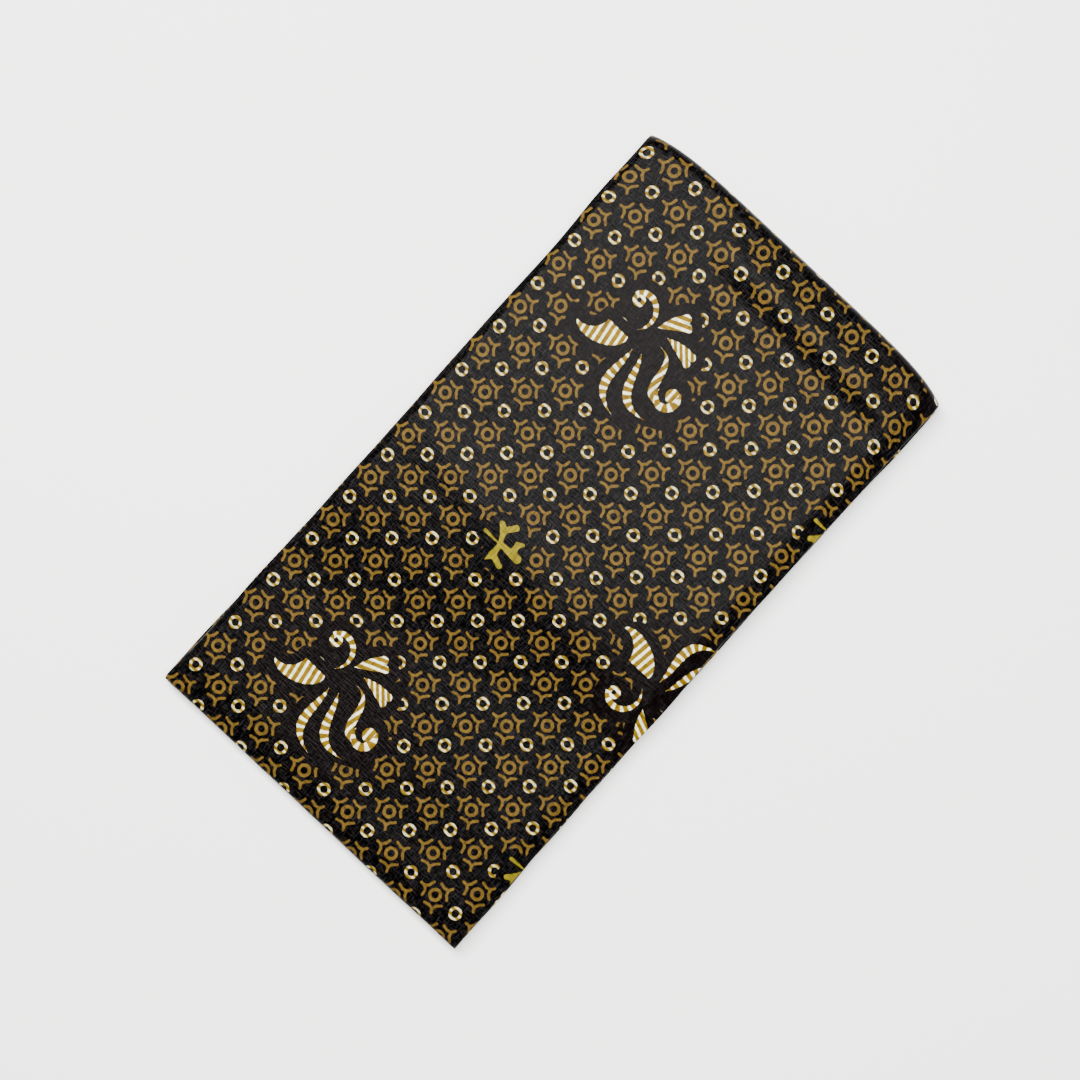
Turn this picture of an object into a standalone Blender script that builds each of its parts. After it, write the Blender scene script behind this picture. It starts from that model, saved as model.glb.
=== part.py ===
"""A printed cotton lungi, folded into a flat packet and lying on its underside.

The garment is a tube of cloth. Laid flat and folded in six across, it is a strip twelve plies thick.
The strip is halved and then halved again along its height, which makes four panels on each other.
One section of the strip, with its creased edges, is carried along the way that the strip takes
through the packet, and each stretch of that way is a solid of its own.
"""

import math
from collections import namedtuple

import bmesh
import bpy
import numpy as np

# The garment, in metres, before it is folded
TUBE_ROUND = 2.03
TUBE_TALL = 1.27
PLY = 0.00025

# The folds: six across the flat tube, then two halvings along its height
FOLDS_ACROSS = 6
PANELS = 4
GAP = 0.0003

PLIES = 2 * FOLDS_ACROSS
STRIP_HALF = TUBE_ROUND / PLIES / 2
PACKET_LONG = TUBE_TALL / PANELS
PITCH = PLIES * PLY
WALL = PITCH - GAP
HEIGHT = PANELS * PITCH - GAP

# The two U-turns along the height, as the radius of their outer face
FINAL_RADIUS = HEIGHT / 2
HALF_RADIUS = (2 * WALL + GAP) / 2
FINAL_TURN = PACKET_LONG / 2 - FINAL_RADIUS
HALF_TURN = -PACKET_LONG / 2 + HALF_RADIUS
LEAD = 0.003

# The selvedge ends of the two lower panels, past the packet's nominal end or short of it
BOTTOM_END = -PACKET_LONG / 2 - 0.0006
THIRD_END = -PACKET_LONG / 2 + 0.0012

# How far the strip lies off the packet's centre line at each turn and end
DRIFT_BOTTOM = -0.0007
DRIFT_FINAL = 0.0
DRIFT_HALF = 0.0002
DRIFT_INNER = -0.0006
DRIFT_THIRD = 0.0009

# The packet's outline seen from above: ends off square, a slight waist, and drawn-in corners
END_SKEW = 0.033
SIDE_TILT = -0.0094
WAIST = -0.0009
FLARE = 0.0010
CORNER_DRAW = 0.0052
CORNER_POWER = 6
DRAW_STARTS = 0.075

# Air between the plies lifts the middle, and the creased edges and the half fold stay pressed
LOFT = 0.0030
CREASE_RISE = 0.007
ROLL_RISE = 0.011
HALF_RISE = 0.018

# How many faces each part of the strip gets, with the faces narrower towards its long edges
ACROSS_FINE = 18
ACROSS_PLAIN = 14
EVEN_SHARE = 0.25
NOSE_STEPS = 4
TURN_STEPS = 10

# Where the panels' stations lie along the packet: closer together near both ends
MIDDLE_FROM, MIDDLE_TO = -0.136, 0.108
END_STEP, MIDDLE_STEP, FINAL_STEP = 0.005, 0.0122, 0.0042

Fold = namedtuple("Fold", "name along across heading reach left right rise fades")

# The largest soft folds of the top face. heading is degrees from +X to the fold's own line, reach
# is half its length, left and right are its breadths on either side of that line, and rise is below
# zero for a trough. fades is the power of the height with which a fold dies away down through the
# plies
TOP_FOLDS = (
    Fold("wide_trough", -0.074, 0.000, 104, 0.098, 0.100, 0.036, -0.0040, 2),
    Fold("crest", -0.020, 0.000, 79, 0.090, 0.010, 0.016, 0.0006, 6),
    Fold("corner_trough", -0.139, -0.046, 90, 0.045, 0.012, 0.022, -0.0010, 6),
    Fold("end_trough", 0.124, -0.024, 88, 0.055, 0.010, 0.008, -0.0007, 6),
    Fold("end_ridge", 0.137, -0.022, 88, 0.055, 0.008, 0.013, 0.0018, 6),
    Fold("end_puff", 0.150, 0.000, 90, 0.085, 0.045, 0.045, 0.0006, 1),
)

Look = namedtuple("Look", "red green blue roughness")
COTTON = Look(0.013, 0.011, 0.014, 0.62)


def smooth_step(value):
    """0 below 0, 1 above 1, and a soft S between."""
    held = np.clip(value, 0.0, 1.0)
    return held * held * (3 - 2 * held)


def nose(side, start, end):
    """A rounded crease on one side: half a circle from one depth to another."""
    middle, half = (start + end) / 2, (end - start) / 2
    angle = np.linspace(-math.pi / 2, math.pi / 2, NOSE_STEPS + 1)
    reach = STRIP_HALF - abs(half) * (1 - np.cos(angle))
    return np.stack([side * reach, middle + half * np.sin(angle)], axis=1)


def eased_line(start, end, steps):
    """Points between two others, without them, closer together towards both."""
    even = np.linspace(-1.0, 1.0, steps + 1)[1:-1]
    part = EVEN_SHARE * even + (1 - EVEN_SHARE) * np.sin(even * math.pi / 2)
    return start + (end - start) * ((part + 1) / 2)[:, None]


def strip_ring(steps_across):
    """The strip's section as a closed ring of (across, depth below the outer face).

    The cloth is folded in thirds, so each side shows a thick crease, which wraps two thirds of the
    plies, and a thin one for the third that ends there.
    """
    third = WALL / 3
    thin_left = nose(1, third, 0.0)
    thick_left = nose(1, WALL, third)
    thick_right = nose(-1, 0.0, 2 * third)
    thin_right = nose(-1, 2 * third, WALL)
    outer = eased_line(thin_left[-1], thick_right[0], steps_across)
    inner = eased_line(thin_right[-1], thick_left[0], steps_across)
    return np.concatenate([outer, thick_right, thin_right, inner, thick_left, thin_left])


def panel_stations(start, end):
    """Places along a panel from start to end, at steps that suit how fast its height changes."""
    low, high = min(start, end), max(start, end)
    steps = [
        np.arange(MIDDLE_FROM, low, -END_STEP)[::-1],
        np.arange(MIDDLE_FROM + MIDDLE_STEP, MIDDLE_TO, MIDDLE_STEP),
        np.arange(MIDDLE_TO, high, FINAL_STEP),
    ]
    inside = np.concatenate(steps)
    clear = END_STEP / 3
    inside = inside[(inside > low + clear) & (inside < high - clear)]
    places = np.concatenate([[low], inside, [high]])
    return places if start < end else places[::-1]


def run(start, end, height, inward, drift):
    """Stations on a flat stretch: (x, z) of the outer face, (x, z) of the way inwards, and drift."""
    x = panel_stations(start, end)
    flat = np.zeros_like(x)
    off = drift[0] + (drift[1] - drift[0]) * (x - start) / (end - start)
    return np.stack([x, flat + height, flat, flat + inward, off], axis=1)


def turn(x, height, radius, start, end, inward, drift, steps=TURN_STEPS):
    """Stations on a U-turn about (x, height), between two angles in degrees."""
    angle = np.radians(np.linspace(start, end, steps + 1))
    out_x, out_z = np.cos(angle), np.sin(angle)
    flat = np.full_like(angle, drift)
    return np.stack(
        [x + radius * out_x, height + radius * out_z, inward * out_x, inward * out_z, flat], axis=1
    )


def bottom_way():
    """The panel on the surface, from its selvedge to the final fold."""
    return run(BOTTOM_END, FINAL_TURN - LEAD - GAP, 0.0, 1, (DRIFT_BOTTOM, DRIFT_FINAL))


def final_way():
    """The full-thickness U-turn from the bottom panel up to the top panel."""
    drift = (DRIFT_FINAL, DRIFT_FINAL)
    bend = turn(FINAL_TURN, HEIGHT / 2, FINAL_RADIUS, -90, 90, -1, DRIFT_FINAL)
    return np.concatenate(
        [
            run(FINAL_TURN - LEAD, FINAL_TURN, 0.0, 1, drift)[:-1],
            bend,
            run(FINAL_TURN, FINAL_TURN - LEAD, HEIGHT, -1, drift)[1:],
        ]
    )


def top_way():
    """The panel that faces up."""
    first, last = FINAL_TURN - LEAD - GAP, HALF_TURN + LEAD + GAP
    return run(first, last, HEIGHT, -1, (DRIFT_FINAL, DRIFT_HALF))


def half_way():
    """The half-thickness U-turn from the top panel down to the second."""
    drift = (DRIFT_HALF, DRIFT_HALF)
    middle = HEIGHT - HALF_RADIUS
    return np.concatenate(
        [
            run(HALF_TURN + LEAD, HALF_TURN, HEIGHT, -1, drift)[:-1],
            turn(HALF_TURN, middle, HALF_RADIUS, 90, 270, -1, DRIFT_HALF),
            run(HALF_TURN, HALF_TURN + LEAD, middle - HALF_RADIUS, 1, drift)[1:],
        ]
    )


def hidden_way():
    """The second panel, the U-turn inside the final fold, and the third panel to its selvedge."""
    second, third = (HEIGHT + GAP) / 2, (HEIGHT - GAP) / 2
    inner = turn(FINAL_TURN, HEIGHT / 2, GAP / 2, 90, -90, 1, DRIFT_INNER, 8)
    return np.concatenate(
        [
            run(HALF_TURN + LEAD + GAP, FINAL_TURN, second, 1, (DRIFT_HALF, DRIFT_INNER))[:-1],
            inner,
            run(FINAL_TURN, THIRD_END, third, -1, (DRIFT_INNER, DRIFT_THIRD))[1:],
        ]
    )


def eased_rise(distance, over):
    """0 at an edge, rising steeply at first and levelling off at 1."""
    return 1 - (1 - np.clip(distance / over, 0.0, 1.0)) ** 2


def fold_relief(x, y, z):
    """How far each point is lifted or sunk by air and soft folds, down to nothing at the underside."""
    share = z / HEIGHT
    total = (
        LOFT
        * share
        * eased_rise(STRIP_HALF - y, CREASE_RISE)
        * eased_rise(STRIP_HALF + y, ROLL_RISE)
        * eased_rise(x + PACKET_LONG / 2, HALF_RISE)
    )
    for fold in TOP_FOLDS:
        angle = math.radians(fold.heading)
        dx, dy = x - fold.along, y - fold.across
        on = (dx * math.cos(angle) + dy * math.sin(angle)) / fold.reach
        off = dy * math.cos(angle) - dx * math.sin(angle)
        off = off / np.where(off > 0, fold.left, fold.right)
        along_it = smooth_step(1.6 - 1.2 * np.abs(on))
        total += fold.rise * np.exp(-off * off) * along_it * share**fold.fades
    return total


def settle(points):
    """Moves points of a square, level packet to where the cloth lies.

    The height follows the soft folds, and the underside stays flat. The outline is skewed and
    waisted, and its two corners at the final fold are drawn in.
    """
    x, y, z = points.T
    part = np.abs(y) / STRIP_HALF
    draw = CORNER_DRAW * part**CORNER_POWER * smooth_step((x - DRAW_STARTS) / DRAW_STARTS)
    half = STRIP_HALF + WAIST + FLARE * (x / (PACKET_LONG / 2)) ** 2
    settled_x = x + END_SKEW * y - draw
    settled_y = y * half / STRIP_HALF + SIDE_TILT * x
    return np.stack([settled_x, settled_y, z + fold_relief(x, y, z)], axis=1)


def carried_strip(way, steps_across):
    """Carries the strip's ring along a way: the points, and how many rings and points a ring."""
    ring = strip_ring(steps_across)
    across, depth = ring[None, :, 0], ring[None, :, 1]
    x, z, in_x, in_z, drift = (way[:, k, None] for k in range(5))
    points = np.stack(
        [x + depth * in_x, across + drift + 0 * x, z + depth * in_z], axis=2
    )
    return settle(points.reshape(-1, 3)), len(way), len(ring)


def strip_faces(rings, around):
    """Four-sided faces between the rings, and one face at each end."""
    ring, point = np.meshgrid(np.arange(rings - 1), np.arange(around), indexing="ij")
    after = (point + 1) % around
    low, high = ring * around, (ring + 1) * around
    quads = np.stack([low + point, low + after, high + after, high + point], axis=2)
    last = (rings - 1) * around
    return (
        quads.reshape(-1, 4).tolist()
        + [list(range(around))]
        + [list(range(last, last + around))]
    )


def cotton(name):
    """The dark printed cotton, as a plain material."""
    material = bpy.data.materials.new(name)
    material.use_nodes = True
    shader = material.node_tree.nodes["Principled BSDF"]
    shader.inputs["Base Color"].default_value = (COTTON.red, COTTON.green, COTTON.blue, 1.0)
    shader.inputs["Roughness"].default_value = COTTON.roughness
    shader.inputs["Metallic"].default_value = 0.0
    return material


def add_stretch(name, way, steps_across, collection):
    """One stretch of the folded strip as a closed solid."""
    points, rings, around = carried_strip(way, steps_across)
    mesh = bpy.data.meshes.new(name)
    mesh.from_pydata(points.tolist(), [], strip_faces(rings, around))
    shape = bmesh.new()
    shape.from_mesh(mesh)
    bmesh.ops.recalc_face_normals(shape, faces=shape.faces)
    bmesh.ops.triangulate(shape, faces=[f for f in shape.faces if len(f.verts) > 4])
    shape.to_mesh(mesh)
    shape.free()
    mesh.shade_smooth()
    mesh.set_sharp_from_angle(angle=math.radians(50))
    mesh.materials.append(cotton(name + "_cotton"))
    stretch = bpy.data.objects.new(name, mesh)
    collection.objects.link(stretch)
    return stretch


def centre_on_footprint(stretches):
    """Puts the middle of the packet's outline over the origin, with the underside at zero."""
    corners = np.array([v.co for s in stretches for v in s.data.vertices])
    middle = (corners.min(0) + corners.max(0)) / 2
    for stretch in stretches:
        for vertex in stretch.data.vertices:
            vertex.co.x -= middle[0]
            vertex.co.y -= middle[1]


def main():
    for old in list(bpy.data.objects):
        bpy.data.objects.remove(old)
    packet = bpy.data.collections.new("folded_lungi")
    bpy.context.scene.collection.children.link(packet)
    centre_on_footprint(
        [
            add_stretch("bottom_panel", bottom_way(), ACROSS_PLAIN, packet),
            add_stretch("final_fold", final_way(), ACROSS_FINE, packet),
            add_stretch("top_panel", top_way(), ACROSS_FINE, packet),
            add_stretch("half_fold", half_way(), ACROSS_PLAIN, packet),
            add_stretch("hidden_folds", hidden_way(), ACROSS_PLAIN, packet),
        ]
    )


main()
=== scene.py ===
"""A printed cotton lungi folded into a flat packet: the cloth, ply by ply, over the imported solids.

The garment is a tube. Laid flat and folded in six across it is a strip of twelve plies, and the strip
is halved twice along its height. Both pieces here are the same cloth: the ply that shows, carried
along the strip's whole way through the packet, and the eleven plies behind it. The print is worked
out in the cloth's own coordinates, so that it runs on over every fold.
"""

import math
from collections import namedtuple

import bpy
import numpy as np
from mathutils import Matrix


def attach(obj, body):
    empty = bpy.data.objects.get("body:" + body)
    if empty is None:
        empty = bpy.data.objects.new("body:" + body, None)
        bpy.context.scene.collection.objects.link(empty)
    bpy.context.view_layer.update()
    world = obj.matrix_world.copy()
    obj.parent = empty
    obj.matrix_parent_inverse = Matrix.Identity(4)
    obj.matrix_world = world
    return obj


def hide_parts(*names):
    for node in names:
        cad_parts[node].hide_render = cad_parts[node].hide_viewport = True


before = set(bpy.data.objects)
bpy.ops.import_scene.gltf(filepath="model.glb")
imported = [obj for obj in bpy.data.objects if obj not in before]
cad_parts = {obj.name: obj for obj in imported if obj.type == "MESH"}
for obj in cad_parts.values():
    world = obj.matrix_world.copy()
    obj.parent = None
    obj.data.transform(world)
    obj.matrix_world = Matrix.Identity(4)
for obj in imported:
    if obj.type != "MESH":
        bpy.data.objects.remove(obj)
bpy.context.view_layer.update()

# The garment, in metres: the round and height of the tube, and its folds
TUBE_ROUND = 2.03
TUBE_TALL = 1.27
PLIES = 12
PANELS = 4
PLY_ROOM = 0.00025
GAP = 0.0003
CLOTH = 0.00017

STRIP_HALF = TUBE_ROUND / PLIES / 2
PACKET_LONG = TUBE_TALL / PANELS
PITCH = PLIES * PLY_ROOM
WALL = PITCH - GAP
HEIGHT = PANELS * PITCH - GAP
PLY_STEP = WALL / PLIES

# The two U-turns along the height, and the two selvedge ends
FINAL_RADIUS = HEIGHT / 2
HALF_RADIUS = (2 * WALL + GAP) / 2
FINAL_TURN = PACKET_LONG / 2 - FINAL_RADIUS
HALF_TURN = -PACKET_LONG / 2 + HALF_RADIUS
BOTTOM_END = -PACKET_LONG / 2 - 0.0006
THIRD_END = -PACKET_LONG / 2 + 0.0012

# How far each panel lies off the packet's centre line, at its start and its end
DRIFT_BOTTOM = -0.0007
DRIFT_FINAL = 0.0
DRIFT_HALF = 0.0002
DRIFT_INNER = -0.0006
DRIFT_THIRD = 0.0009

# The outline seen from above: ends off square, a slight waist, and drawn-in corners
END_SKEW = 0.033
SIDE_TILT = -0.0094
WAIST = -0.0009
FLARE = 0.0010
CORNER_DRAW = 0.0052
CORNER_POWER = 6
DRAW_STARTS = 0.075

# Air between the plies lifts the middle, and the creased edges and the half fold stay pressed
LOFT = 0.0030
CREASE_RISE = 0.0045
ROLL_RISE = 0.011
HALF_RISE = 0.018

# The inner plies lie this much lower in the middle, clear of the ply that shows
INNER_EASE = 0.0005
EASE_RISE = 0.020

Wave = namedtuple("Wave", "long step rise")

# A panel's edges stray sideways and breathe in waves, which step on from panel to panel
STRAY_WAVES = (Wave(0.0173, 2.1, 0.00022), Wave(0.0091, 4.3, 0.000132))
BREATH_WAVE = Wave(0.0117, 1.3, 0.00018)
WAVES_START = 0.03

# The two selvedges wander, across the strip and from ply to ply
SELVEDGE_WAVE = 0.0004
SELVEDGE_LONG, SELVEDGE_DEEP = 0.021, 0.0004

Fold = namedtuple("Fold", "name along across heading reach left right rise fades")

# Soft folds, listed one by one, and how each fades towards its ends
FOLDS = (
    Fold("wide_trough", -0.074, 0.000, 104, 0.098, 0.100, 0.036, -0.0040, 2),
    Fold("crest", -0.020, 0.000, 79, 0.090, 0.010, 0.016, 0.0006, 6),
    Fold("corner_trough", -0.139, -0.046, 90, 0.045, 0.012, 0.022, -0.0010, 6),
    Fold("end_trough", 0.124, -0.024, 88, 0.055, 0.010, 0.008, -0.0007, 6),
    Fold("end_ridge", 0.137, -0.022, 88, 0.055, 0.008, 0.013, 0.0018, 6),
    Fold("end_puff", 0.150, 0.000, 90, 0.085, 0.045, 0.045, 0.0006, 1),
)
FOLD_FADE = (1.6, 1.2)

Stretch = namedtuple("Stretch", "bottom final top half second inner third")

# How many steps each stretch of the way gets, on the ply that shows and on the plies behind it
OUTER_STEPS = Stretch(40, 26, 210, 14, 36, 6, 36)
INNER_STEPS = Stretch(30, 16, 44, 12, 24, 6, 24)

# How far each stub lies in from its crease, and the points across each part
STUB = 0.006
OUTER_ACROSS = 92
INNER_ACROSS = 7
OUTER_BEND = 9
INNER_BEND = 6

# The order in which the cloth passes through the plies, from the one that shows
PLY_ORDER = (0, 7, 8, 9, 6, 1, 2, 5, 10, 11, 4, 3)

# How evenly a ply's points lie across it: 1 is even, and 0 crowds them towards its creases
EVENNESS = 0.35

# The baked map: the top panel's share, and how many stations past either end it takes along
OUTER_SHARE, OUTER_BEFORE, OUTER_AFTER = 0.66, 12, 6
INNER_SHARE, INNER_BEFORE, INNER_AFTER = 0.34, 0, 0


def smooth_step(value):
    """0 below 0, 1 above 1, and 3v2 - 2v3 between."""
    held = np.clip(value, 0.0, 1.0)
    return held * held * (3 - 2 * held)


def eased_rise(distance, over):
    """0 at an edge, rising as 1 - (1 - d / over)2 and level at 1 past it."""
    return 1 - (1 - np.clip(distance / over, 0.0, 1.0)) ** 2


def fold_relief(x, y, z):
    """The lift of each point: loft times the rises from three edges, plus every soft fold.

    A fold's heading is the angle from +X to its own line, and reach is half its length. Across the
    line it is rise * exp(-off2), where off counts its breadth on that side, left or right, as 1. It
    ends in a smooth step, and fades down through the plies as a power of the height. A trough has a
    rise below zero.
    """
    share = np.clip(z / HEIGHT, 0.0, None)
    total = (
        LOFT
        * share
        * eased_rise(STRIP_HALF - y, CREASE_RISE)
        * eased_rise(STRIP_HALF + y, ROLL_RISE)
        * eased_rise(x + PACKET_LONG / 2, HALF_RISE)
    )
    for fold in FOLDS:
        angle = math.radians(fold.heading)
        dx, dy = x - fold.along, y - fold.across
        on = (dx * math.cos(angle) + dy * math.sin(angle)) / fold.reach
        off = dy * math.cos(angle) - dx * math.sin(angle)
        off = off / np.where(off > 0, fold.left, fold.right)
        ends = smooth_step(FOLD_FADE[0] - FOLD_FADE[1] * np.abs(on))
        total = total + fold.rise * np.exp(-off * off) * ends * share**fold.fades
    return total


def settle(x, y, z, ease):
    """Takes a square, level packet to where the cloth lies: skewed, waisted, and lifted by its folds.

    The ends shift by skew * y and the sides by tilt * x, the half width is a parabola along x, and the
    two corners at the final fold draw in as a power of y.
    """
    part = np.abs(y) / STRIP_HALF
    draw = CORNER_DRAW * part**CORNER_POWER * smooth_step((x - DRAW_STARTS) / DRAW_STARTS)
    half = STRIP_HALF + WAIST + FLARE * (x / (PACKET_LONG / 2)) ** 2
    inset = eased_rise(STRIP_HALF - np.abs(y) - STUB, EASE_RISE)
    lowered = ease * inset * np.clip(z / HEIGHT, 0.0, 1.0)
    return np.stack(
        [
            x + END_SKEW * y - draw,
            y * half / STRIP_HALF + SIDE_TILT * x,
            z + fold_relief(x, y, z) - lowered,
        ],
        axis=-1,
    )


def run(start, end, height, inward, drift, steps):
    """Stations on a flat stretch: x, z of the outer face, the way inwards, and the drift."""
    x = np.linspace(start, end, steps + 1)
    flat = np.zeros_like(x)
    off = drift[0] + (drift[1] - drift[0]) * (x - start) / (end - start)
    return np.stack([x, flat + height, flat, flat + inward, off], axis=1)


def turn(x, height, radius, start, end, inward, drift, steps):
    """Stations on a U-turn: points (cos, sin) * radius about (x, height) between two angles."""
    angle = np.radians(np.linspace(start, end, steps + 1))
    out_x, out_z = np.cos(angle), np.sin(angle)
    flat = np.full_like(angle, drift)
    return np.stack(
        [x + radius * out_x, height + radius * out_z, inward * out_x, inward * out_z, flat], axis=1
    )


def strip_way(steps):
    """The strip's whole way, from the bottom panel's selvedge to the third panel's.

    Bottom panel, final fold, top panel, half fold, second panel, inner turn, third panel.
    """
    second, third = (HEIGHT + GAP) / 2, (HEIGHT - GAP) / 2
    middle = HEIGHT - HALF_RADIUS
    parts = [
        run(BOTTOM_END, FINAL_TURN, 0.0, 1, (DRIFT_BOTTOM, DRIFT_FINAL), steps.bottom),
        turn(FINAL_TURN, HEIGHT / 2, FINAL_RADIUS, -90, 90, -1, DRIFT_FINAL, steps.final),
        run(FINAL_TURN, HALF_TURN, HEIGHT, -1, (DRIFT_FINAL, DRIFT_HALF), steps.top),
        turn(HALF_TURN, middle, HALF_RADIUS, 90, 270, -1, DRIFT_HALF, steps.half),
        run(HALF_TURN, FINAL_TURN, second, 1, (DRIFT_HALF, DRIFT_INNER), steps.second),
        turn(FINAL_TURN, HEIGHT / 2, GAP / 2, 90, -90, 1, DRIFT_INNER, steps.inner),
        run(FINAL_TURN, THIRD_END, third, -1, (DRIFT_INNER, DRIFT_THIRD), steps.third),
    ]
    return np.concatenate([parts[0]] + [part[1:] for part in parts[1:]])


def way_print(way):
    """The print's coordinate along the strip: its length from the start, matched to x on the top panel."""
    steps = np.hypot(np.diff(way[:, 0]), np.diff(way[:, 1]))
    length = np.concatenate([[0.0], np.cumsum(steps)])
    tops = np.argmax(way[:, 1] >= HEIGHT - 1e-9)
    return way[tops, 0] + length[tops] - length


def edge_wander(way):
    """Small waves of a panel's edges: how far it strays sideways, and how much it breathes.

    Each wave is rise * sin(x / long + step * panel), and dies away towards the packet's two ends.
    """
    x = way[:, 0]
    panel = np.round(way[:, 1] / (HEIGHT / (PANELS - 1)))
    still = smooth_step((x + PACKET_LONG / 2) / WAVES_START)
    still = still * smooth_step((PACKET_LONG / 2 - x) / WAVES_START)

    def waved(wave):
        return still * wave.rise * np.sin(x / wave.long + wave.step * panel)

    return sum(waved(wave) for wave in STRAY_WAVES), waved(BREATH_WAVE)


def ply_depth(ply):
    """How deep the middle of a ply lies below the strip's outer face."""
    return (ply + 0.5) * PLY_STEP


def crease(side, first, last, steps):
    """Half a circle round one edge, from one ply to another: points (across, depth)."""
    radius = abs(last - first) / 2 * PLY_STEP
    middle = (ply_depth(first) + ply_depth(last)) / 2
    angle = np.linspace(-math.pi / 2, math.pi / 2, steps + 1)
    turned = math.copysign(1.0, last - first)
    centre = STRIP_HALF - CLOTH / 2 - radius
    across = side * (centre + radius * np.cos(angle))
    return np.stack([across, middle + turned * radius * np.sin(angle)], axis=1)


def ply_line(ply, start, end, count):
    """Points on one ply between two places across, closer together towards both: even and sine mixed."""
    even = np.linspace(-1.0, 1.0, count + 2)[1:-1]
    part = EVENNESS * even + (1 - EVENNESS) * np.sin(even * math.pi / 2)
    across = start + (end - start) * (part + 1) / 2
    return np.stack([across, np.full_like(across, ply_depth(ply))], axis=1)


def outer_section():
    """The ply that shows, round both its creases: a stub of ply 3, ply 0, and a stub of ply 7."""
    last, after = PLY_ORDER[-1], PLY_ORDER[1]
    right, left = crease(1, last, 0, OUTER_BEND), crease(-1, 0, after, OUTER_BEND)
    stub_in = np.array([[STRIP_HALF - STUB, ply_depth(last)]])
    stub_out = np.array([[-STRIP_HALF + STUB, ply_depth(after)]])
    face = ply_line(0, right[-1, 0], left[0, 0], OUTER_ACROSS)
    return np.concatenate([stub_in, right, face, left, stub_out])


def inner_section():
    """The other plies in the order that the cloth takes, from ply 7's stub back to ply 3's."""
    lines, side = [np.array([[-STRIP_HALF + STUB, ply_depth(PLY_ORDER[1])]])], 1
    start = -STRIP_HALF + STUB
    for ply, after in zip(PLY_ORDER[1:-1], PLY_ORDER[2:]):
        bend = crease(side, ply, after, INNER_BEND)
        lines += [ply_line(ply, start, bend[0, 0], INNER_ACROSS), bend]
        start, side = bend[-1, 0], -side
    end = np.array([[STRIP_HALF - STUB, ply_depth(PLY_ORDER[-1])]])
    lines += [ply_line(PLY_ORDER[-1], start, end[0, 0], INNER_ACROSS), end]
    return np.concatenate(lines)


def girth(section, start):
    """The print's coordinate round the garment: the length along a section, counted down from start."""
    steps = np.hypot(*np.diff(section, axis=0).T)
    return start - np.concatenate([[0.0], np.cumsum(steps)])


def cloth_points(way, section, ease):
    """The section carried along the way: across and depth become a point of each station, then settled."""
    x, z, in_x, in_z, drift = (way[:, k, None] for k in range(5))
    across, depth = section[None, :, 0], section[None, :, 1]
    stray, breath = (part[:, None] for part in edge_wander(way))
    wander = SELVEDGE_WAVE * np.sin(across / SELVEDGE_LONG + depth / SELVEDGE_DEEP)
    station = np.arange(len(way))[:, None]
    selvedge = (station == 0) | (station == len(way) - 1)
    return settle(
        x + depth * in_x + wander * selvedge,
        across * (1 + breath / STRIP_HALF) + drift + stray,
        z + depth * in_z,
        ease,
    )


def grid_faces(rows, columns):
    """Four-sided faces of a grid of points."""
    row, column = np.meshgrid(np.arange(rows - 1), np.arange(columns - 1), indexing="ij")
    corner = row * columns + column
    return np.stack([corner, corner + 1, corner + columns + 1, corner + columns], -1).reshape(-1, 4)


def add_uv(mesh, name, u, v, corners):
    """A UV map whose values are given point by point."""
    layer = mesh.uv_layers.new(name=name)
    values = np.stack([u.ravel()[corners], v.ravel()[corners]], axis=-1)
    layer.data.foreach_set("uv", values.astype(np.float32).ravel())


def add_cloth(name, points, u, v, room, material):
    """A grid of cloth as a thin shell, with its print coordinates and its place in the baked map."""
    rows, columns = points.shape[:2]
    faces = grid_faces(rows, columns)
    mesh = bpy.data.meshes.new(name)
    mesh.from_pydata(points.reshape(-1, 3), [], faces.tolist())
    corners = faces.ravel()
    u_all, v_all = np.broadcast_to(u[:, None], (rows, columns)), np.broadcast_to(v, (rows, columns))
    add_uv(mesh, "cloth", u_all, v_all, corners)
    add_uv(mesh, "OFBake", *room, corners)
    mesh.shade_smooth()
    mesh.materials.append(material)
    piece = bpy.data.objects.new(name, mesh)
    bpy.context.scene.collection.objects.link(piece)
    shell = piece.modifiers.new("thickness", "SOLIDIFY")
    shell.thickness = CLOTH
    shell.offset = 0.0
    return piece


def map_room(u, v, steps, before, after, share):
    """Where each point lies in the baked map: the top panel takes its share, the ways on from it the rest."""
    start = steps.bottom + steps.final
    low, high = sorted((u[start - before], u[start + steps.top + after]))
    half_rest = (1 - share) / 2
    above = share + half_rest * (u - high) / (u.max() - high)
    below = share + half_rest + half_rest * (low - u) / (low - u.min())
    spread = np.where(u > high, above, np.where(u < low, below, share * (u - low) / (high - low)))
    across = (v - v.min()) / (v.max() - v.min())
    shape = (len(u), len(v))
    return np.broadcast_to(spread[:, None], shape), np.broadcast_to(across, shape)


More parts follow.
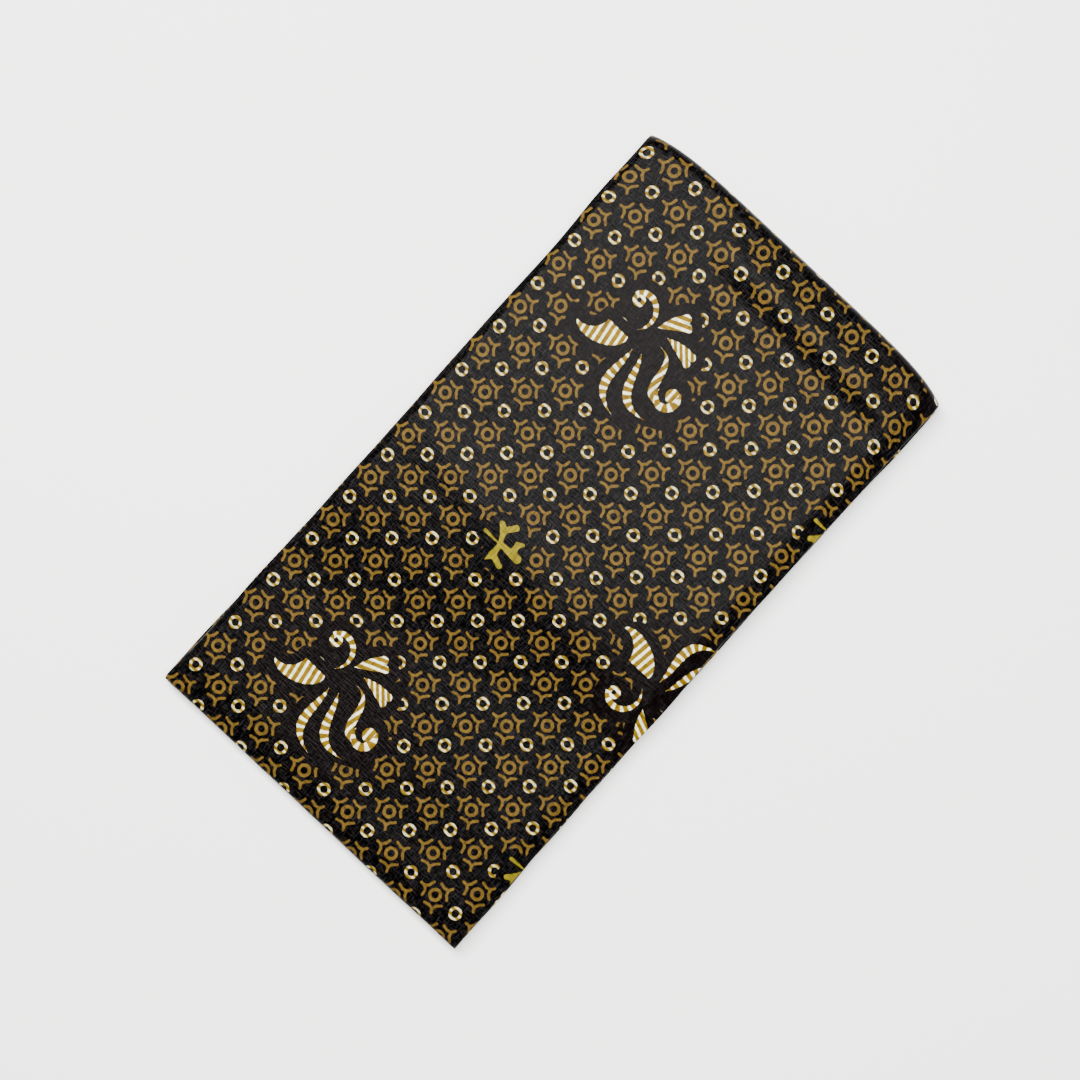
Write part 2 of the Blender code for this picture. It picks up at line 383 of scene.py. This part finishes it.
class Wire:
    """A number that varies over the cloth: a node socket with arithmetic that adds Math nodes."""

    def __init__(self, tree, socket):
        self.tree, self.socket = tree, socket

    def math(self, operation, *others):
        node = self.tree.nodes.new("ShaderNodeMath")
        node.operation = operation
        for slot, value in zip(node.inputs, (self, *others)):
            if isinstance(value, Wire):
                self.tree.links.new(value.socket, slot)
            else:
                slot.default_value = value
        return Wire(self.tree, node.outputs[0])

    def __add__(self, other):
        return self.math("ADD", other)

    def __sub__(self, other):
        return self.math("SUBTRACT", other)

    def __mul__(self, other):
        return self.math("MULTIPLY", other)

    def __truediv__(self, other):
        return self.math("DIVIDE", other)

    def __rsub__(self, other):
        return (self * -1.0) + other

    def __abs__(self):
        return self.math("ABSOLUTE")

    def low(self, other):
        return self.math("MINIMUM", other)

    def high(self, other):
        return self.math("MAXIMUM", other)

    def held(self):
        """Clamped between 0 and 1."""
        wire = self.math("ADD", 0.0)
        wire.socket.node.use_clamp = True
        return wire

    def below(self, other):
        """1 where this is less than the other, else 0."""
        return self.math("LESS_THAN", other)

    def mixed(self, other, share):
        """This where share is 0, the other where it is 1."""
        return self + (other - self) * share


def far(x, y):
    """The distance of a point from the origin."""
    tree = x.tree
    join = tree.nodes.new("ShaderNodeCombineXYZ")
    for slot, value in zip(join.inputs, (x, y)):
        tree.links.new(value.socket, slot)
    node = tree.nodes.new("ShaderNodeVectorMath")
    node.operation = "LENGTH"
    tree.links.new(join.outputs[0], node.inputs[0])
    return Wire(tree, node.outputs["Value"])


def turned(x, y, degrees):
    """The point seen in axes turned by an angle."""
    c, s = math.cos(math.radians(degrees)), math.sin(math.radians(degrees))
    return x * c + y * s, y * c - x * s


def inked(distance, soft=0.14):
    """1 inside a shape and 0 outside, with a soft edge, from the distance to it in millimetres."""
    return (0.5 - distance * (1 / (2 * soft))).held()


def nearest(x, y, long, tall):
    """The point's place about the nearest node of a centred lattice with cells long by tall."""
    ax, ay = x - (x / long).math("ROUND") * long, y - (y / tall).math("ROUND") * tall
    mx, my = x - long / 2, y - tall / 2
    bx, by = mx - (mx / long).math("ROUND") * long, my - (my / tall).math("ROUND") * tall
    pick = far(bx, by).below(far(ax, ay))
    return ax.mixed(bx, pick), ay.mixed(by, pick)


def capsule(x, y, start, end, thick_start, thick_end):
    """The distance to a straight stroke with round ends and its own half width at each."""
    dx, dy = end[0] - start[0], end[1] - start[1]
    square = dx * dx + dy * dy
    px, py = x - start[0], y - start[1]
    on = (px * (dx / square) + py * (dy / square)).held()
    return far(px - on * dx, py - on * dy) - (on * (thick_end - thick_start) + thick_start)


# The print, in millimetres: rings on a lattice, with one more at the middle of each cell
RING_LONG = 24.37
RING_TALL = 25.54
CREAM_SHIFT = (12.2, 1.16)
OCHRE_RING, OCHRE_BAND = 2.24, 0.70
CREAM_RING, CREAM_BAND = 2.24, 0.58
RING_STRIPE, RING_SHARE, RING_SLANT = 2.35, 0.56, 0.05

# The cells of the lattice as they lie on the cloth, and where the first one is
CELL_LONG, CELL_TALL = 24.14, 25.5
FIRST_CELL = 11.1

# The print strays on the cloth, in cells: it leans, bows, and is drawn out towards the packet's ends
Stray = namedtuple("Stray", "start along across bow draw twist spread")
STRAY_LONG = Stray(0.009, 1.0, -0.0106, -0.0027, -0.0005, 0.0004, -0.0030)
STRAY_TALL = Stray(-0.038, -0.0043, 0.9895, -0.0016, 0.0, -0.0009, 0.0020)
STRAYS_TO = (7.0, 3.5)

# The three-legged mark, seen along its own axis from the middle of its ring
MARK_JOINT, MARK_STEM = 5.8, 7.8
MARK_ELBOW, MARK_HAND = (4.55, 1.55), (4.0, 3.7)
MARK_HALF = 0.58
MARK_BLEND, HAND_BLEND = 0.7, 0.3
MARK_THIRD = math.radians(120)
MARK_TURN = 3.75

# The sprays stand eight rings apart, and each next row is moved by half and mirrored
SPRAY_LONG = 8 * RING_LONG
SPRAY_TALL = 8 * RING_TALL
SPRAY_AT = (3 * RING_LONG - 1.8, RING_TALL + 0.28)
ODD_SHIFT = -2.35
SPRIG_AT = (-102.2, -9.9)
SPRIG_SHIFT = 3.4
SPRAY_CLEAR = 4.6
SPRIG_CLEAR = 3.6
SPRAY_SHRINK = 0.12
STRIPE, STRIPE_SHARE = 3.2, 0.61

# The rows of sprays are counted from this many below, so that the count stays above zero
ROWS_BELOW = 128

Frond = namedtuple("Frond", "x y heading length half swell bow lean slant")
Curl = namedtuple("Curl", "x y radius start sweep half grow striped")
Bud = namedtuple("Bud", "x y heading length half slant")
Ringlet = namedtuple("Ringlet", "x y radius half")

# One spray: three tendrils, a long curl and a hook, two buds, a ringlet and a bulb, and a leaf
SPRAY_FRONDS = (
    Frond(-2.2, 3.0, 205.0, 29.0, 1.8, 0.0, -6.4, 0.7, 0.0),
    Frond(-1.0, -1.3, 227.0, 28.2, 1.8, 0.0, -6.9, 0.7, 0.0),
    Frond(6.4, -4.6, 221.0, 25.0, 1.7, -0.6, 0.8, -9.4, 1.6),
)
SPRAY_CURLS = (
    Curl(12.4, 12.5, 9.4, -143.0, 201.0, 1.4, -4.6, 0.92),
    Curl(-7.1, -21.6, 4.6, 82.0, 243.0, 1.9, 0.0, 0.76),
)
SPRAY_BUDS = (
    Bud(11.2, 0.7, -43.5, 15.8, 3.7, 0.94),
    Bud(11.0, -5.1, -94.0, 16.2, 3.3, 1.4),
)
BUD_BOW = 0.8
BUD_ENDS, BUD_LOBES, BUD_LOBE = 0.82, 0.84, 0.52
BUD_TURN = 0.5
RINGLET = Ringlet(14.3, 14.4, 1.95, 1.0)
BULB = Ringlet(-5.1, -23.4, 0.0, 3.25)

# The leaf: half an ellipse with a round bite that hooks its tip, and a straight cut
LEAF_AT, LEAF_HEADING = (-0.3, 7.5), 110.2
LEAF_LONG, LEAF_BACK = 23.8, 6.8
BITE_AT, BITE, BITE_OPENS = (19.4, -7.5), 9.3, 4.0
LEAF_CUT = 0.2
LEAF_SLANT = -0.20

# How much of the distance across a slanting edge is the distance to it
FROND_LEAN, LEAF_LEAN = 0.88, 0.9

Lobe = namedtuple("Lobe", "x0 y0 x1 y1 half0 half1")

# One sprig: a stem, arms that fork, and a broad foot
SPRIG = (
    Lobe(0.6, 1.6, 0.7, 8.9, 0.3, 0.8),
    Lobe(0.9, 0.5, 6.0, 2.8, 0.7, 1.5),
    Lobe(6.0, 2.8, 7.8, 5.3, 1.4, 1.2),
    Lobe(6.0, 2.8, 10.5, -0.6, 1.2, 1.4),
    Lobe(0.9, 0.2, -5.0, -0.2, 0.9, 1.5),
    Lobe(-5.0, -0.2, -8.4, 0.8, 1.5, 0.3),
    Lobe(-4.8, -0.8, -6.5, -5.8, 1.3, 1.2),
    Lobe(0.9, 0.0, 1.0, -9.4, 1.1, 1.9),
    Lobe(1.5, -6.3, 5.6, -5.8, 1.4, 1.2),
    Lobe(5.6, -5.8, 7.2, -7.6, 1.2, 0.7),
)
SPRIG_BLEND = 1.2


def frond_reach(x, y, shape):
    """A tapering, bowed tendril: (distance to it, its stripe coordinate).

    Its middle line is bow * 4t(1-t) * (1 + lean(2t-1)), and its half width is half * 4t(1-t) *
    (1 + swell(1-2t)), with t from 0 at the root to 1 at the tip. The stripes lie square to the middle
    line, by its slope, and slant turns them off square.
    """
    along, across = turned(x - shape.x, y - shape.y, shape.heading)
    t = along * (1 / shape.length)
    hump = t * (1.0 - t) * 4.0
    line = hump * (t * (2 * shape.lean) + (1 - shape.lean)) * shape.bow
    width = hump.high(-1.0) * (t * (-2 * shape.swell) + (1 + shape.swell)) * shape.half
    side = abs(across - line) * FROND_LEAN - width
    past = (abs(t - 0.5) - 0.5) * shape.length
    rate = (1.0 - t * 2.0) * (t * (2 * shape.lean) + (1 - shape.lean)) + hump * (shape.lean / 2)
    slope = rate * (4 * shape.bow / shape.length)
    phase = along + (across - line) * (slope + shape.slant)
    return side.high(past), phase * (1 / math.hypot(1.0, shape.slant))


def curl_reach(x, y, shape):
    """A curling stroke: an arc whose radius changes by grow, its half width half * (1 - (1-t)4).

    Its stripe coordinate is the length along the arc, times striped.
    """
    px, py = x - shape.x, y - shape.y
    middle = math.radians(shape.start + shape.sweep / 2)
    qx, qy = turned(px, py, math.degrees(middle))
    angle = qy.math("ARCTAN2", qx)
    t = angle * (1 / math.radians(shape.sweep)) + 0.5
    radius = t * shape.grow + shape.radius
    short = (t * (t - 2.0) + 1.0).low(2.0)
    side = abs(far(px, py) - radius) - (1.0 - short * short) * shape.half
    past = (abs(t - 0.5) - 0.5) * (shape.radius * math.radians(shape.sweep))
    length = t * (t * (shape.grow / 2) + shape.radius) * math.radians(shape.sweep)
    return side.high(past), length * shape.striped


def bud_reach(x, y, shape):
    """A heart-shaped bud: a wedge from its point, bowed by bow * 4t(1-t), and two lobes at its end."""
    along, across = turned(x - shape.x, y - shape.y, shape.heading)
    t = along * (1 / shape.length)
    wide = abs(across - (t * (1.0 - t) * 4.0).high(-1.0) * BUD_BOW)
    wedge = (wide - t * (2.0 - t) * shape.half).high(along - shape.length * BUD_ENDS)
    round_half = shape.half * BUD_LOBE
    lobe = far(along - shape.length * BUD_LOBES, wide - round_half) - round_half
    return wedge.low(lobe), across + along * (shape.slant - BUD_TURN)


def leaf_reach(x, y):
    """The leaf: below back * sqrt(4t(1-t)), outside the bite, and on the near side of its cut.

    The bite is a circle that stays open to one side and past its own middle. Where it meets the cut,
    the distance is the one to the corner.
    """
    along, across = turned(x - LEAF_AT[0], y - LEAF_AT[1], LEAF_HEADING)
    t = along * (1 / LEAF_LONG)
    back = (t * (1.0 - t) * 4.0).high(0.0).math("SQRT") * LEAF_BACK
    bite = BITE - far((along - BITE_AT[0]).low(BITE_OPENS), (across - BITE_AT[1]).high(0.0))
    cut = x - LEAF_AT[0] - LEAF_CUT
    inner = far(bite.high(0.0), cut.high(0.0)) + bite.high(cut).low(0.0)
    past = (abs(t - 0.5) - 0.5) * LEAF_LONG
    return ((across - back) * LEAF_LEAN).high(past).high(inner), along + across * LEAF_SLANT


def spray_reach(x, y):
    """One spray: (distance to it, stripe coordinate of the part that is nearest)."""
    parts = [leaf_reach(x, y)]
    parts += [frond_reach(x, y, shape) for shape in SPRAY_FRONDS]
    parts += [curl_reach(x, y, shape) for shape in SPRAY_CURLS]
    parts += [bud_reach(x, y, shape) for shape in SPRAY_BUDS]
    parts.append((abs(far(x - RINGLET.x, y - RINGLET.y) - RINGLET.radius) - RINGLET.half, x))
    parts.append((far(x - BULB.x, y - BULB.y) - BULB.half, y))
    near, stripe = parts[0]
    for distance, phase in parts[1:]:
        stripe = stripe.mixed(phase, distance.below(near))
        near = near.low(distance)
    return near, stripe


def sprig_reach(x, y):
    """The distance to one sprig: its lobes, run together softly."""
    near = None
    for lobe in SPRIG:
        reach = capsule(x, y, (lobe.x0, lobe.y0), (lobe.x1, lobe.y1), lobe.half0, lobe.half1)
        near = reach if near is None else near.math("SMOOTH_MIN", reach, SPRIG_BLEND)
    return near


def mark_reach(x, y):
    """The distance to the nearest of the three marks about a ring: folded to one third, then mirrored."""
    angle = y.math("ARCTAN2", x) * (1 / MARK_THIRD) + MARK_TURN
    folded = (angle.math("FRACT") - 0.5) * MARK_THIRD
    radius = far(x, y)
    px, py = radius * folded.math("COSINE"), abs(radius * folded.math("SINE"))
    stem = capsule(px, py, (MARK_JOINT, 0.0), (MARK_STEM, 0.0), MARK_HALF, MARK_HALF)
    arm = capsule(px, py, (MARK_JOINT, 0.0), MARK_ELBOW, MARK_HALF, MARK_HALF)
    hand = capsule(px, py, MARK_ELBOW, MARK_HAND, MARK_HALF, MARK_HALF)
    return stem.math("SMOOTH_MIN", arm, MARK_BLEND).math("SMOOTH_MIN", hand, HAND_BLEND)


def strayed(column, line, stray):
    """A cell's place in the print, from its column c and its line r.

    It is start + along c + across r + c2 (bow + draw c) + twist cr + spread r2. The curved terms hold
    still past the packet's own cells.
    """
    c = column.low(STRAYS_TO[0]).high(-STRAYS_TO[0])
    r = line.low(STRAYS_TO[1]).high(-STRAYS_TO[1])
    curved = c * c * (c * stray.draw + stray.bow) + r * (c * stray.twist + r * stray.spread)
    return column * stray.along + line * stray.across + curved + stray.start


def stripes(phase, pitch, share):
    """1 on a share of each pitch, with soft edges."""
    wave = abs((phase * (1 / pitch)).math("FRACT") - 0.5) * pitch
    return inked(wave - share * pitch / 2)


def noise(tree, vector, scale=1.0, detail=2.0):
    """A noise texture over a vector, as its factor."""
    node = tree.nodes.new("ShaderNodeTexNoise")
    node.inputs["Scale"].default_value = scale
    node.inputs["Detail"].default_value = detail
    node.inputs["Roughness"].default_value = 0.5
    tree.links.new(vector, node.inputs["Vector"])
    return Wire(tree, node.outputs["Fac"])


def joined(tree, *parts):
    """Up to three numbers as one vector."""
    join = tree.nodes.new("ShaderNodeCombineXYZ")
    for slot, value in zip(join.inputs, parts):
        if isinstance(value, Wire):
            tree.links.new(value.socket, slot)
        else:
            slot.default_value = value
    return join.outputs[0]


def tinted(tree, below, above, share):
    """A colour mixed towards another, each a colour or a socket."""
    node = tree.nodes.new("ShaderNodeMix")
    node.data_type = "RGBA"
    tree.links.new(share.socket, node.inputs["Factor"])
    for slot, value in ((node.inputs[6], below), (node.inputs[7], above)):
        if isinstance(value, tuple):
            slot.default_value = (*value, 1.0)
        else:
            tree.links.new(value, slot)
    return node.outputs[2]


# The dyes: the ground and its two yarns, the cast round a spray, and the printed colours
GROUND = (0.0002, 0.0002, 0.0002)
GROUND_COOL = (0.0085, 0.0085, 0.0108)
GROUND_BROWN = (0.0102, 0.0075, 0.0063)
GROUND_WARM = (0.0026, 0.0011, 0.0011)
OCHRE = (0.070, 0.042, 0.008)
RING_CREAM = (0.400, 0.375, 0.210)
SPRAY_CREAM = (0.620, 0.600, 0.380)
GOLD = (0.116, 0.067, 0.002)
OLIVE = (0.122, 0.097, 0.006)

# The weave, in millimetres: one thread, the thick places of the yarns, and their lighter streaks
THREAD = 0.40
SLUB_ACROSS, SLUB_ALONG = 0.9, 5.5
YARN_ACROSS, YARN_ALONG = 0.5, 4.0

# Where a streak starts in its noise, how fast it grows, and how slubs vary the colour
YARN_FROM, YARN_GROWS = 0.54, 7.0
SLUB_TINT = 1.2

# How far the dye bleeds, how fine its bleeding is, and the cast's reach, softness and share
BLEED, BLEED_FINE = 0.5, 0.55
WARM_REACH, WARM_SOFT, WARM_SHARE = 9.0, 6.0, 0.4

# The relief of threads and slubs, and the finish
THREAD_RISE, SLUB_RISE = 0.25, 6.5
BUMP_STRENGTH, BUMP_DISTANCE = 0.5, 0.00003
ROUGH, ROUGH_SLUB = 0.17, 0.06
SPECULAR = 0.0130
SHEEN, SHEEN_ROUGH = 0.004, 0.45
SHEEN_COLOUR = (0.75, 0.85, 1.0, 1.0)


def yarns(tree, along, across, long, short, seeds, detail):
    """Two noises drawn out along the two ways of the weave: along the strip, and across it."""
    lengthwise = noise(tree, joined(tree, along * (1 / long), across * (1 / short), seeds[0]), detail=detail)
    crosswise = noise(tree, joined(tree, along * (1 / short), across * (1 / long), seeds[1]), detail=detail)
    return lengthwise, crosswise


def printed_cotton():
    """Dark plain-weave cotton, printed in ochre, cream, gold and olive, all from the cloth's own map."""
    material = bpy.data.materials.new("printed_cotton_weave")
    material.use_nodes = True
    tree = material.node_tree
    shader = tree.nodes["Principled BSDF"]
    source = tree.nodes.new("ShaderNodeUVMap")
    source.uv_map = "cloth"
    split = tree.nodes.new("ShaderNodeSeparateXYZ")
    tree.links.new(source.outputs["UV"], split.inputs[0])
    along = Wire(tree, split.outputs[0]) * 1000.0
    across = Wire(tree, split.outputs[1]) * 1000.0

    cloth = joined(tree, along, across)
    bleed_x = (noise(tree, cloth, BLEED_FINE) - 0.5) * BLEED
    bleed_y = (noise(tree, joined(tree, across, along, 7.0), BLEED_FINE) - 0.5) * BLEED
    column, line = (along - FIRST_CELL) * (1 / CELL_LONG), across * (1 / CELL_TALL)
    x = strayed(column, line, STRAY_LONG) * RING_LONG + bleed_x
    y = strayed(column, line, STRAY_TALL) * RING_TALL + bleed_y

    sx, sy = x - SPRAY_AT[0], y - SPRAY_AT[1]
    row = (sy / (SPRAY_TALL / 2)).math("ROUND")
    odd = (row * 0.5 + ROWS_BELOW / 2).math("FRACT") * 2.0
    mirror = 1.0 - odd * 2.0
    lx = sx - odd * (SPRAY_LONG / 2 + ODD_SHIFT)
    lx = (lx - (lx / SPRAY_LONG).math("ROUND") * SPRAY_LONG) * mirror
    ly = sy - row * (SPRAY_TALL / 2)
    spray, phase = spray_reach(lx, ly)
    gx = lx - SPRIG_AT[0] + odd * -SPRIG_SHIFT
    gx = gx - (gx / SPRAY_LONG).math("ROUND") * SPRAY_LONG
    sprig = sprig_reach(gx, ly - SPRIG_AT[1])

    clear = (SPRAY_CLEAR - spray).high(SPRIG_CLEAR - sprig)
    ox, oy = nearest(x, y, RING_LONG, RING_TALL)
    ring = abs(far(ox, oy) - OCHRE_RING) - OCHRE_BAND
    ochre = inked(ring.low(mark_reach(ox, oy)).high(clear))
    kx, ky = nearest(x - CREAM_SHIFT[0], y - CREAM_SHIFT[1], RING_LONG, RING_TALL)
    cream = inked((abs(far(kx, ky) - CREAM_RING) - CREAM_BAND).high(clear))

    cool, brown = yarns(tree, along, across, YARN_ALONG, YARN_ACROSS, (2.0, 9.0), 2.0)
    colour = tinted(tree, GROUND, GROUND_COOL, ((cool - YARN_FROM) * YARN_GROWS).held())
    colour = tinted(tree, colour, GROUND_BROWN, ((brown - YARN_FROM) * YARN_GROWS).held())
    colour = tinted(tree, colour, GROUND_WARM, inked(spray - WARM_REACH, WARM_SOFT) * WARM_SHARE)
    colour = tinted(tree, colour, OCHRE, ochre)
    ring_fill = tinted(tree, RING_CREAM, GOLD, stripes(x + y * RING_SLANT, RING_STRIPE, RING_SHARE))
    colour = tinted(tree, colour, ring_fill, cream)
    spray_fill = tinted(tree, SPRAY_CREAM, GOLD, stripes(phase, STRIPE, STRIPE_SHARE))
    colour = tinted(tree, colour, spray_fill, inked(spray + SPRAY_SHRINK))
    colour = tinted(tree, colour, OLIVE, inked(sprig))

    warp, weft = yarns(tree, along, across, SLUB_ALONG, SLUB_ACROSS, (0.0, 5.0), 1.0)
    slub = (warp + weft - 1.0) * SLUB_TINT + 1.0
    scaled = tree.nodes.new("ShaderNodeVectorMath")
    scaled.operation = "SCALE"
    tree.links.new(colour, scaled.inputs[0])
    tree.links.new(slub.socket, scaled.inputs["Scale"])
    tree.links.new(scaled.outputs[0], shader.inputs["Base Color"])

    over = (along * (math.pi / THREAD)).math("SINE") * (across * (math.pi / THREAD)).math("SINE")
    height = over * THREAD_RISE + slub * SLUB_RISE
    bump = tree.nodes.new("ShaderNodeBump")
    bump.inputs["Strength"].default_value = BUMP_STRENGTH
    bump.inputs["Distance"].default_value = BUMP_DISTANCE
    tree.links.new(height.socket, bump.inputs["Height"])
    tree.links.new(bump.outputs["Normal"], shader.inputs["Normal"])

    rough = (warp + weft) * ROUGH_SLUB + ROUGH
    tree.links.new(rough.socket, shader.inputs["Roughness"])
    shader.inputs["Specular IOR Level"].default_value = SPECULAR
    shader.inputs["Sheen Weight"].default_value = SHEEN
    shader.inputs["Sheen Roughness"].default_value = SHEEN_ROUGH
    shader.inputs["Sheen Tint"].default_value = SHEEN_COLOUR
    return material


# The floor: half its side, and how far it lies below the packet
FLOOR_HALF = 3.0
FLOOR_BELOW = 0.0002
FLOOR_COLOUR = (0.93, 0.93, 0.93, 1.0)
FLOOR_ROUGH, FLOOR_SPECULAR = 0.9, 0.1


def plain_floor():
    """A pale floor below the packet: one square."""
    mesh = bpy.data.meshes.new("floor")
    signs = ((-1, -1), (1, -1), (1, 1), (-1, 1))
    mesh.from_pydata([(FLOOR_HALF * a, FLOOR_HALF * b, -FLOOR_BELOW) for a, b in signs], [], [(0, 1, 2, 3)])
    material = bpy.data.materials.new("floor_white")
    material.use_nodes = True
    shader = material.node_tree.nodes["Principled BSDF"]
    shader.inputs["Base Color"].default_value = FLOOR_COLOUR
    shader.inputs["Roughness"].default_value = FLOOR_ROUGH
    shader.inputs["Specular IOR Level"].default_value = FLOOR_SPECULAR
    mesh.materials.append(material)
    floor = bpy.data.objects.new("floor", mesh)
    bpy.context.scene.collection.objects.link(floor)


# One softbox nearly overhead, beyond the final fold's upper corner, in metres and watts
KEY_AT = (0.20, 0.34, 1.35)
KEY_WIDE, KEY_DEEP = 0.56, 1.48
KEY_POWER = 102.0
KEY_COLOUR = (1.0, 0.99, 0.97)

# The walls of the studio glow evenly, and fade between two heights, as sines, to a dark ceiling
GLOW, CEILING = 1.0, 0.05
GLOW_COLOUR = (0.97, 0.985, 1.0)
GLOW_TOP, GLOW_GONE = 0.50, 0.72


def studio():
    """A softbox that faces the packet, and glowing walls under a dark ceiling."""
    light = bpy.data.lights.new("key_softbox", "AREA")
    light.shape = "RECTANGLE"
    light.size = KEY_WIDE
    light.size_y = KEY_DEEP
    light.energy = KEY_POWER
    light.color = KEY_COLOUR
    softbox = bpy.data.objects.new("key_softbox", light)
    x, y, z = KEY_AT
    softbox.location = KEY_AT
    softbox.rotation_euler = (-math.asin(y / math.hypot(x, y, z)), math.atan2(x, z), 0.0)
    bpy.context.scene.collection.objects.link(softbox)
    world = bpy.data.worlds.new("studio_walls")
    world.use_nodes = True
    tree = world.node_tree
    way = tree.nodes.new("ShaderNodeTexCoord")
    split = tree.nodes.new("ShaderNodeSeparateXYZ")
    tree.links.new(way.outputs["Generated"], split.inputs[0])
    ramp = tree.nodes.new("ShaderNodeMapRange")
    ramp.interpolation_type = "SMOOTHSTEP"
    ramp.inputs["From Min"].default_value = GLOW_TOP
    ramp.inputs["From Max"].default_value = GLOW_GONE
    ramp.inputs["To Min"].default_value = GLOW
    ramp.inputs["To Max"].default_value = CEILING
    tree.links.new(split.outputs["Z"], ramp.inputs["Value"])
    sky = tree.nodes["Background"]
    sky.inputs["Color"].default_value = (*GLOW_COLOUR, 1.0)
    tree.links.new(ramp.outputs[0], sky.inputs["Strength"])
    bpy.context.scene.world = world


# The photograph's frame on the packet, in metres, and how far it is turned, in degrees
FRAME_WIDE = 0.4609
FRAME_AT = (-0.00569, 0.00455)
FRAME_ROLL = -48.76
CAMERA_UP = 1.10
SENSOR = 36.0


def overhead_camera(middle):
    """A camera straight above the packet, rolled as the photograph is."""
    lens = bpy.data.cameras.new("overhead")
    lens.sensor_width = SENSOR
    lens.lens = SENSOR * CAMERA_UP / FRAME_WIDE
    camera = bpy.data.objects.new("overhead", lens)
    camera.location = (FRAME_AT[0] - middle[0], FRAME_AT[1] - middle[1], HEIGHT + CAMERA_UP)
    camera.rotation_euler = (0.0, 0.0, math.radians(FRAME_ROLL))
    bpy.context.scene.collection.objects.link(camera)
    bpy.context.scene.camera = camera


def main():
    """Builds both pieces of the cloth, the floor, the studio and the camera."""
    cotton = printed_cotton()
    outer_way, inner_way = strip_way(OUTER_STEPS), strip_way(INNER_STEPS)
    face, rest = outer_section(), inner_section()
    outer = cloth_points(outer_way, face, 0.0)
    inner = cloth_points(inner_way, rest, INNER_EASE)
    flat = outer.reshape(-1, 3)
    middle = (flat.min(0) + flat.max(0)) / 2 * (1, 1, 0)

    outer_u, inner_u = way_print(outer_way), way_print(inner_way)
    stub_round = STRIP_HALF + math.pi * 1.5 * PLY_STEP + STUB
    outer_v = girth(face, stub_round)
    inner_v = girth(rest, outer_v[-1])
    room = map_room(outer_u, outer_v, OUTER_STEPS, OUTER_BEFORE, OUTER_AFTER, OUTER_SHARE)
    showing = add_cloth("lungi_outer_ply", outer - middle, outer_u, outer_v, room, cotton)
    room = map_room(inner_u, inner_v, INNER_STEPS, INNER_BEFORE, INNER_AFTER, INNER_SHARE)
    behind = add_cloth("lungi_inner_plies", inner - middle, inner_u, inner_v, room, cotton)

    for piece in (showing, behind):
        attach(piece, "root")
    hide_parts("top_panel", "final_fold", "half_fold", "bottom_panel")
    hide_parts("hidden_folds")
    shown_round = outer_v.max() - outer_v.min()
    TUBE_ROUND - shown_round

    plain_floor()
    studio()
    overhead_camera(middle)


main()
